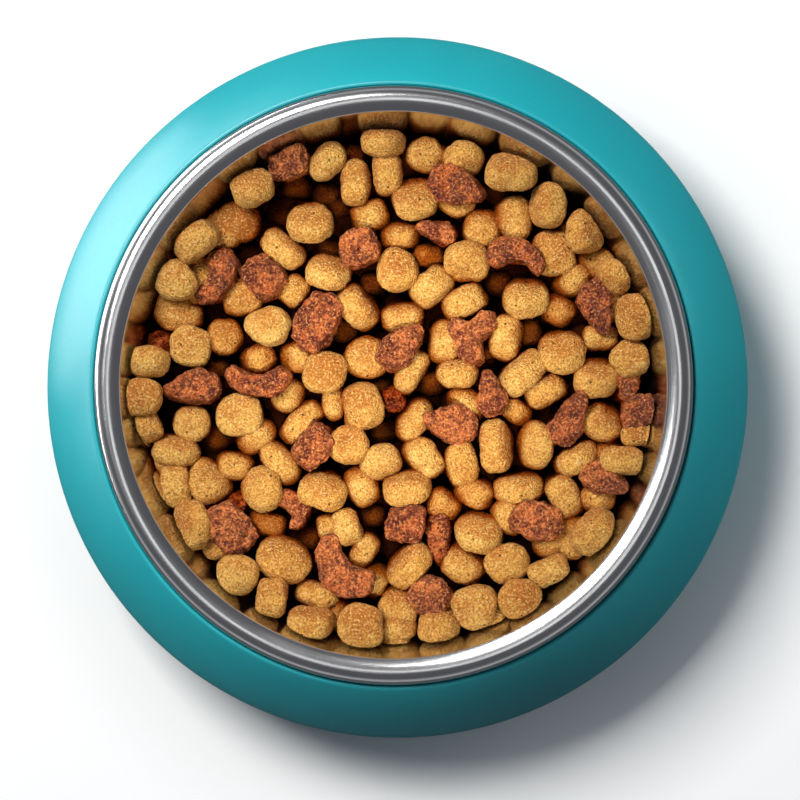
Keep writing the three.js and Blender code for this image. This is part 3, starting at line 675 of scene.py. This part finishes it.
def relief(tree, height, strength, distance):
    """A normal bent by a height, whose full range is a distance in metres."""
    return put(tree, "Bump", {"Height": height, "Strength": strength, "Distance": distance}).outputs[0]


def carried(tree, name):
    """A value that a piece carries at each of its points."""
    return put(tree, "Attribute", attribute_name=name).outputs["Fac"]


def new_group(name, inputs, outputs):
    """A shader node group with named sockets: returns it, what it is given and its output node."""
    tree = bpy.data.node_groups.new(name, "ShaderNodeTree")
    for label, kind, value in inputs:
        socket = tree.interface.new_socket(label, in_out="INPUT", socket_type="NodeSocket" + kind)
        if value is not None:
            socket.default_value = value
    for label, kind in outputs:
        tree.interface.new_socket(label, in_out="OUTPUT", socket_type="NodeSocket" + kind)
    return tree, tree.nodes.new("NodeGroupInput").outputs, tree.nodes.new("NodeGroupOutput")


def place(tree, group, inputs):
    """A group placed in a tree with its own values or links: returns its outputs."""
    return put(tree, "Group", inputs, node_tree=group).outputs


def new_material(name):
    """A material with a bare Principled BSDF: returns it with its tree, shader and object coordinates."""
    material = bpy.data.materials.new(name)
    material.use_nodes = True
    tree = material.node_tree
    tree.nodes.clear()
    shader = put(tree, "BsdfPrincipled")
    put(tree, "OutputMaterial", {0: shader.outputs[0]})
    return material, tree, shader, put(tree, "TexCoord").outputs["Object"]


def crumb_group():
    """Baked crumb: grains, pores and pale flecks whose sizes are in millimetres."""
    labels = ("Height", "Grains", "Pores", "Flecks", "Mottle", "Rust")
    tree, given, out = new_group(
        "baked crumb",
        [("Vector", "Vector", None)] + [(size, "Float", 1.0) for size in ("Grain", "Pore", "Fleck")],
        [(label, "Float") for label in labels],
    )
    vector = given["Vector"]

    def per_metre(size):
        """A pattern's scale, from one of the group's sizes."""
        return calc(tree, "DIVIDE", 1000.0, given[size])

    def dots(size, channel, picked, widest, edge):
        """Round dots in some of the cells, and the random colour of each cell."""
        cell = put(tree, "TexVoronoi", {"Vector": vector, "Scale": per_metre(size)}).outputs
        pick = put(tree, "SeparateColor", {0: cell["Color"]}).outputs
        reach = spread(tree, pick[channel], picked, 1.0, 0.0, widest)
        return spread(tree, calc(tree, "SUBTRACT", reach, cell["Distance"]), 0.0, edge), pick

    grains = noise(tree, vector, per_metre("Grain"), 3.0, Roughness=0.7)
    cells = put(tree, "TexVoronoi", {"Vector": vector, "Scale": per_metre("Grain")}).outputs["Distance"]
    pores, _ = dots("Pore", 0, 0.70, 0.26, 0.09)
    flecks, pick = dots("Fleck", 1, 0.72, 0.3, 0.06)
    rust = spread(tree, pick[2], 0.55, 0.95)
    mottle = noise(tree, vector, 260.0, 3.0, Roughness=0.6)
    height = calc(tree, "ADD", grains, times(tree, cells, -0.35))
    height = calc(tree, "SUBTRACT", height, times(tree, pores, 0.9))
    height = calc(tree, "ADD", height, times(tree, flecks, 0.25))
    feed(tree, out, dict(zip(labels, (height, grains, pores, flecks, mottle, rust))))
    return tree


CRUMB = crumb_group()


def painted_shade_group():
    """Painted shade between kibbles: with depth the colour is painted redder, as light passed from kibble to
    kibble would turn it, then near black. Open is the share of the sheen that is left."""
    tree, given, out = new_group("shade between kibbles", [("Color", "Color", None), ("Painted_shade", "Float", 0.0)],
                                 [("Color", "Color"), ("Open", "Float")])
    colour, painted_shade = given["Color"], given["Painted_shade"]
    painted_bounce = blended(tree, 1.0, colour, (0.50, 0.22, 0.08, 1), "MULTIPLY")
    colour = layered(tree, colour, (spread(tree, painted_shade, 0.0, 0.55), painted_bounce),
                     (spread(tree, painted_shade, 0.35, 1.0, 0.0, 0.97), (0.010, 0.002, 0.001, 1)))
    feed(tree, out, {"Color": colour, "Open": spread(tree, painted_shade, 0.0, 0.5, 1.0, 0.05)})
    return tree


PAINTED_SHADE = painted_shade_group()


def finish_biscuit(tree, shader, crumb, colour, sheen, roughness):
    """The crumb's relief, and a colour and sheen that fail in the painted shade between kibbles, on a shader.
    """
    shade = place(tree, PAINTED_SHADE, {"Color": colour, "Painted_shade": carried(tree, "painted_shade")})
    feed(tree, shader, {
        "Base Color": shade["Color"],
        "Specular IOR Level": times(tree, shade["Open"], sheen),
        "Roughness": roughness,
        "Normal": relief(tree, crumb["Height"], 1.0, 0.0011),
    })


def tan_biscuit():
    """Tan kibble: paler orange sides, browner faces, fine grains, pores and flecks of bran. Painted light
    also makes the sides towards the front paler and those towards the back browner.
    """
    material, tree, shader, where = new_material("tan biscuit")
    crumb = place(tree, CRUMB, {"Vector": where, "Grain": 0.55, "Pore": 1.3, "Fleck": 0.75})
    tone = carried(tree, "tone")
    pale = blended(tree, tone, (0.96, 0.46, 0.085, 1), (1.0, 0.57, 0.13, 1))
    browned = blended(tree, tone, (0.58, 0.185, 0.026, 1), (0.72, 0.275, 0.045, 1))
    patch = times(tree, spread(tree, crumb["Mottle"], 0.42, 0.64), 0.55)
    colour = layered(
        tree, pale,
        # Browner faces, with painted light that leaves the sides towards the front paler and those towards
        # the back browner.
        (calc(tree, "ADD", carried(tree, "face"), patch, True), browned),
        (times(tree, crumb["Rust"], 0.35), (0.70, 0.22, 0.034, 1)),
        (spread(tree, crumb["Grains"], 0.34, 0.52, 0.72, 0.0), (0.36, 0.105, 0.014, 1)),
        (spread(tree, crumb["Grains"], 0.52, 0.66, 0.0, 0.8), (1.0, 0.78, 0.30, 1)),
        (times(tree, crumb["Pores"], 0.85), (0.09, 0.025, 0.008, 1)),
        (times(tree, crumb["Flecks"], 0.75), (1.0, 0.84, 0.48, 1)),
    )
    finish_biscuit(tree, shader, crumb, colour, 0.28, 0.82)
    return material


def red_biscuit():
    """Meaty chunk: painted shade of dark maroon in the crevices, rust on the ridges, darker patches at random
    and a greasy sheen in places.
    """
    material, tree, shader, where = new_material("red biscuit")
    crumb = place(tree, CRUMB, {"Vector": where, "Grain": 0.62, "Pore": 1.2, "Fleck": 0.7})
    tone = carried(tree, "tone")
    ridge = blended(tree, tone, (0.60, 0.125, 0.030, 1), (0.80, 0.225, 0.058, 1))
    # The dark maroon of the painted shade in the crevices, laid on the crevices and also on darker patches at
    # random.
    crevice_shade_colour = blended(tree, tone, (0.12, 0.012, 0.005, 1), (0.19, 0.024, 0.008, 1))
    dark = calc(tree, "ADD", spread(tree, carried(tree, "crevice_shade"), 0.24, 0.62),
                spread(tree, crumb["Mottle"], 0.42, 0.58, 0.0, 0.85), True)
    colour = layered(
        tree, ridge,
        (dark, crevice_shade_colour),
        (times(tree, crumb["Rust"], 0.5), (0.66, 0.20, 0.034, 1)),
        (spread(tree, crumb["Grains"], 0.36, 0.51, 0.85, 0.0), (0.075, 0.009, 0.004, 1)),
        (spread(tree, crumb["Grains"], 0.53, 0.66, 0.0, 0.75), (0.95, 0.42, 0.15, 1)),
        (times(tree, crumb["Flecks"], 0.6), (0.95, 0.55, 0.32, 1)),
        (times(tree, crumb["Pores"], 0.85), (0.02, 0.004, 0.003, 1)),
    )
    gloss = spread(tree, crumb["Mottle"], 0.35, 0.6, 0.30, 0.55)
    finish_biscuit(tree, shader, crumb, colour, 0.5, gloss)
    return material


def spun_group():
    """Spun lines: fine rings round the axis, from noise on radius and height that hardly changes round it."""
    tree, given, out = new_group(
        "spun lines",
        [("Vector", "Vector", None), ("Lines", "Float", 3500.0), ("Round", "Float", 3.0)],
        [("Lines", "Float"), ("Bands", "Float")],
    )
    split = put(tree, "SeparateXYZ", {0: given["Vector"]}).outputs
    flat = put(tree, "CombineXYZ", {0: split[0], 1: split[1], 2: 0.0}).outputs[0]
    radius = put(tree, "VectorMath", {0: flat}, operation="LENGTH").outputs["Value"]
    heading = put(tree, "VectorMath", {0: flat}, operation="NORMALIZE").outputs[0]
    heading = put(tree, "SeparateXYZ", {0: heading}).outputs

    def rings(fineness, changes, detail):
        """Noise that is fine across the rings and changes slowly round them."""
        vector = put(tree, "CombineXYZ", {
            0: times(tree, radius, fineness),
            1: times(tree, heading[0], changes),
            2: times(tree, heading[1], changes),
        }).outputs[0]
        height = times(tree, split[2], fineness)
        return put(tree, "TexNoise", {"Vector": vector, "W": height, "Scale": 1.0, "Detail": detail},
                   noise_dimensions="4D").outputs[0]

    feed(tree, out, {"Lines": rings(given["Lines"], given["Round"], 2.0), "Bands": rings(420.0, 2.0, 1.0)})
    return tree


SPUN = spun_group()


def stainless_steel():
    """Stainless steel with fine spun lines, a little duller on top of the rim."""
    material, tree, shader, where = new_material("stainless steel")
    spun = place(tree, SPUN, {"Vector": where})
    smudge = noise(tree, where, 45.0, 4.0)
    height = put(tree, "SeparateXYZ", {0: where}).outputs[2]
    rough = spread(tree, height, (TOTAL_HEIGHT - 2.5) * MM, (TOTAL_HEIGHT - 1.5) * MM, 0.14, 0.17)
    rough = calc(tree, "ADD", rough, spread(tree, spun["Lines"], 0.35, 0.7, 0.0, 0.05))
    rough = calc(tree, "ADD", rough, spread(tree, smudge, 0.45, 0.75, 0.0, 0.05))
    feed(tree, shader, {
        "Base Color": blended(tree, spun["Bands"], (0.60, 0.61, 0.62, 1), (0.70, 0.70, 0.70, 1)),
        "Roughness": rough,
        "Normal": relief(tree, spun["Lines"], 0.25, 0.00004),
        "Metallic": 1.0,
    })
    return material


def teal_plastic():
    """Moulded teal plastic: satin, with a faintly uneven skin and a few hairline rubs."""
    material, tree, shader, where = new_material("teal plastic")
    skin = noise(tree, where, 900.0, 2.0)
    waves = spread(tree, noise(tree, where, 30.0, 2.0), 0.35, 0.65)
    spun = place(tree, SPUN, {"Vector": where, "Lines": 2600.0, "Round": 14.0})
    rubs = spread(tree, spun["Lines"], 0.68, 0.8)
    colour = blended(tree, waves, (0.0015, 0.360, 0.420, 1), (0.003, 0.385, 0.440, 1))
    rough = spread(tree, skin, 0.3, 0.7, 0.36, 0.42)
    feed(tree, shader, {
        "Base Color": blended(tree, times(tree, rubs, 0.10), colour, (0.10, 0.50, 0.55, 1)),
        "Roughness": calc(tree, "ADD", rough, times(tree, rubs, 0.08)),
        "Normal": relief(tree, skin, 0.15, 0.00005),
        "Specular IOR Level": 0.8,
    })
    return material


def dark_rubber():
    """Matt dark rubber with a fine grain."""
    material, tree, shader, where = new_material("dark rubber")
    grain = noise(tree, where, 1800.0, 3.0)
    feed(tree, shader, {
        "Base Color": blended(tree, grain, (0.016, 0.017, 0.018, 1), (0.034, 0.035, 0.036, 1)),
        "Roughness": 0.85,
        "Normal": relief(tree, grain, 0.4, 0.0001),
    })
    return material


TEAL, STEEL, RUBBER = teal_plastic(), stainless_steel(), dark_rubber()
TAN, RED = tan_biscuit(), red_biscuit()


def dress(piece, slot, *nodes):
    """A piece takes the place of its CAD nodes, which are hidden, and is attached to the root body."""
    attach(piece, "root")
    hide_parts(*nodes)


dress(make_piece("holder_moulding", *lathe(holder_profile()), TEAL), "teal_plastic", "holder")
dress(make_piece("steel_insert", *lathe(steel_profile()), STEEL), "stainless_steel", "steel_bowl")
dress(make_piece("rubber_ring", *lathe(ring_profile()), RUBBER), "dark_rubber", "non_slip_ring")


def food_piece(name, parts):
    """One piece of many kibbles: the parts' points, faces and marks, joined."""
    points, corners, sizes, marks = zip(*parts)
    starts = np.cumsum([0] + [len(part) for part in points])
    corners = [part + start for part, start in zip(corners, starts)]
    joined = {mark: np.concatenate([part[mark] for part in marks]) for mark in marks[0]}
    surface = (np.concatenate(part) for part in (points, corners, sizes))
    dress(make_piece(name, *surface, TAN, joined), "tan_kibble", "kibble_bed")


HIGHEST = TAN_KIBBLES[:, 5] == 0
food_piece("tan_kibbles_highest", [pillows(TAN_KIBBLES[HIGHEST], 24, 50, 1)])
food_piece("tan_kibbles_second", [pillows(TAN_KIBBLES[~HIGHEST], 20, 40, 2)])


def fill_under():
    """A lumpy bed under the kibbles that show: level but for noise, which fades out towards the wall, and
    closed by the inside of the bowl beneath it. Its colour is painted shade, near black."""
    rings, cols = 40, 120
    inside = bowl_inside(REST_GAP, 8)
    low = FILL_TOP - BED_LAYER * LAYER_STEP
    radius = np.linspace(0, wall_radius(low, REST_GAP), rings + 1)[1:, None]
    angle = np.linspace(0, 2 * math.pi, cols, endpoint=False)
    grid = rings_at(radius, low, angle)
    edge = np.clip((radius[-1] - np.hypot(grid[:, 0], grid[:, 1])) / BED_EDGE, 0, 1)
    grid[:, 2] += edge * BED_LUMPS[0] * roughness_of(grid, BED_LUMPS[1])
    wall = inside[::-1][:-1]
    wall = wall[wall[:, 1] < low - 1]
    rest = rings_at(wall[:, :1], wall[:, 1:], angle)
    points = np.concatenate([[[0, 0, low]], grid, rest, [[0, 0, inside[0, 1]]]])
    corners, sizes = closed_faces(rings + len(wall), cols)
    flat = np.zeros(len(points))
    # Painted shade: the bed takes the fullest painted shade, near black.
    return points, corners, sizes, {"tone": flat, "face": flat + 1, "painted_shade": flat + 1}


food_piece("tan_kibbles_lowest", [
    pillows(PEEPING_KIBBLES, 14, 28, 3),
    pillows(hidden_rows(HIDDEN_LAYER, 21), 8, 14, 4, 0.6),
    fill_under(),
])

for number, row in enumerate(MEATY_CHUNKS, 1):
    *surface, marks = chunk(row, 100 + number)
    node = "meaty_chunk_%02d" % number
    dress(make_piece(node + "_look", *surface, RED, marks), "meaty_chunk", node)


# Stage

FLOOR_REACH = 6000  # in millimetres
SKY = (0.070, 0.078, 0.094, 1)
HIGH_MIRRORED = (0.11, 0.11, 0.12, 1)
LOW_MIRRORED = (0.52, 0.52, 0.54, 1)
BACKDROP = (0.93, 0.93, 0.93, 1)
BOWL_MIDDLE, FOOD_MIDDLE = 0.03, 0.042  # heights, in metres, that the lamps are aimed at


def floor():
    """A flat white floor that keeps the shadow near the bowl and is plain white far from it. What it throws
    on the bowl is dimmer, so that its shaded side stays dark."""
    material, tree, shader, where = new_material("floor")
    out = shader.outputs[0].links[0].to_node
    tree.nodes.remove(shader)
    path = put(tree, "LightPath").outputs
    mirrored = calc(tree, "MAXIMUM", path["Is Glossy Ray"], path["Is Transmission Ray"])
    seen = calc(tree, "MAXIMUM", path["Is Camera Ray"], times(tree, mirrored, 0.15))
    far = put(tree, "VectorMath", {0: where}, operation="LENGTH").outputs["Value"]
    # Painted light: for the camera the floor glows, faintly at the bowl's foot and more further out, so that
    # it reads plain white while the lamp's shadow beside the bowl stays dark.
    near_glow = spread(tree, far, 0.088, 0.125, 0.015, 0.15)
    glow = calc(tree, "ADD", near_glow, spread(tree, far, 0.20, 0.75, 0.0, 0.8))
    glow = times(tree, seen, glow)
    tint = blended(tree, mirrored, (0.25, 0.25, 0.25, 1), (0.10, 0.10, 0.10, 1))
    tint = blended(tree, path["Is Camera Ray"], tint, (0.94, 0.94, 0.94, 1))
    matt = put(tree, "BsdfDiffuse", {"Color": tint}).outputs[0]
    light = put(tree, "Emission", {"Color": (0.90, 0.94, 1.0, 1), "Strength": glow}).outputs[0]
    feed(tree, out, {0: put(tree, "AddShader", {0: matt, 1: light}).outputs[0]})
    points = [[x * FLOOR_REACH, y * FLOOR_REACH, 0] for x, y in ((-1, -1), (1, -1), (1, 1), (-1, 1))]
    plane = make_piece("floor", points, [0, 1, 2, 3], [4], material)


def panel(name, size, strength, colour=(1, 1, 1)):
    """A flat rectangular lamp. Strength is its own brightness, where 1 is white."""
    lamp = bpy.data.lights.new(name, "AREA")
    lamp.shape = "RECTANGLE"
    lamp.size, lamp.size_y = size
    lamp.energy = strength * size[0] * size[1] * math.pi
    lamp.color = colour
    return lamp


def hang(lamp, azimuth, elevation, distance, height=BOWL_MIDDLE):
    """A lamp hung, in degrees and metres, as seen from the bowl's axis at a height, and aimed there."""
    a, e = math.radians(azimuth), math.radians(elevation)
    way = np.array([math.cos(a) * math.cos(e), math.sin(a) * math.cos(e), math.sin(e)])
    body = added(lamp.name, lamp)
    body.location = way * distance + [0, 0, height]
    body.rotation_mode = "QUATERNION"
    body.rotation_quaternion = Vector(-way).to_track_quat("-Z", "Y")
    body.visible_camera = False
    return body


def light_card(name, azimuth, near, far, width, strength):
    """A lit card that lies on the floor beside the bowl and faces up, for the sheen on the holder's flank."""
    a = math.radians(azimuth)
    card = added(name, panel(name, (far - near, width), strength))
    card.location = (math.cos(a) * (near + far) / 2, math.sin(a) * (near + far) / 2, 0.002)
    card.rotation_euler = (math.pi, 0, a)
    card.visible_camera = False


def spotlight(name, azimuth, elevation, distance, reach, strength):
    """A spot on the food alone, which nothing polished mirrors. Strength is the light that it adds, where
    1 is white."""
    lamp = bpy.data.lights.new(name, "SPOT")
    lamp.energy = strength * 4 * (math.pi * distance) ** 2 / math.sin(math.radians(elevation))
    lamp.shadow_soft_size = 0.02
    lamp.spot_size = 2 * math.atan(reach / distance)
    lamp.spot_blend = 0.6
    hang(lamp, azimuth, elevation, distance, FOOD_MIDDLE).visible_glossy = False


def sky():
    """Even, dim light from all round. Polished things mirror it pale near the ground and dark above, and the
    camera sees a pale backdrop."""
    world = bpy.data.worlds.new("sky")
    bpy.context.scene.world = world
    world.use_nodes = True
    tree = world.node_tree
    tree.nodes.clear()
    path = put(tree, "LightPath").outputs
    rise = put(tree, "SeparateXYZ", {0: put(tree, "TexCoord").outputs["Generated"]}).outputs[2]
    mirrored = blended(tree, spread(tree, rise, 0.1, 0.55), LOW_MIRRORED, HIGH_MIRRORED)
    light = blended(tree, path["Is Glossy Ray"], SKY, mirrored)
    light = put(tree, "Background", {0: blended(tree, path["Is Camera Ray"], light, BACKDROP), 1: 1.0})
    put(tree, "OutputWorld", {0: light.outputs[0]})


floor()
sky()
hang(panel("key", (0.38, 0.38), 20.5, (1.0, 0.99, 0.97)), 133, 56, 0.9)
hang(panel("overhead", (0.16, 0.16), 1.6), 0, 90, 1.1)
hang(panel("right", (0.5, 0.14), 13.0), 28, 6, 0.9).visible_glossy = False
light_card("low left", 154, 0.125, 0.30, 0.13, 3.6)
light_card("far left", 154, 0.30, 1.40, 0.70, 8.5)
spotlight("food", -92, 62, 0.9, 0.056, 0.95)


# Camera, above the bowl and a little to its front right

CAMERA_PLACE = (0.0265, -0.0161, 0.739)
CAMERA_AIM = (0.00016, -0.0029, 0.004)
CAMERA_LENS = 128.5


def camera():
    """The camera, whose picture has +Y at its top."""
    data = bpy.data.cameras.new("camera")
    data.lens, data.sensor_width = CAMERA_LENS, 36
    data.clip_start, data.clip_end = 0.01, 50
    ahead = (Vector(CAMERA_AIM) - Vector(CAMERA_PLACE)).normalized()
    right = ahead.cross(Vector((0, 1, 0))).normalized()
    eye = added("camera", data)
    eye.location = CAMERA_PLACE
    eye.rotation_mode = "QUATERNION"
    eye.rotation_quaternion = Matrix((right, right.cross(ahead), -ahead)).transposed().to_quaternion()
    bpy.context.scene.camera = eye


camera()
bpy.context.scene.view_settings.view_transform = "Standard"
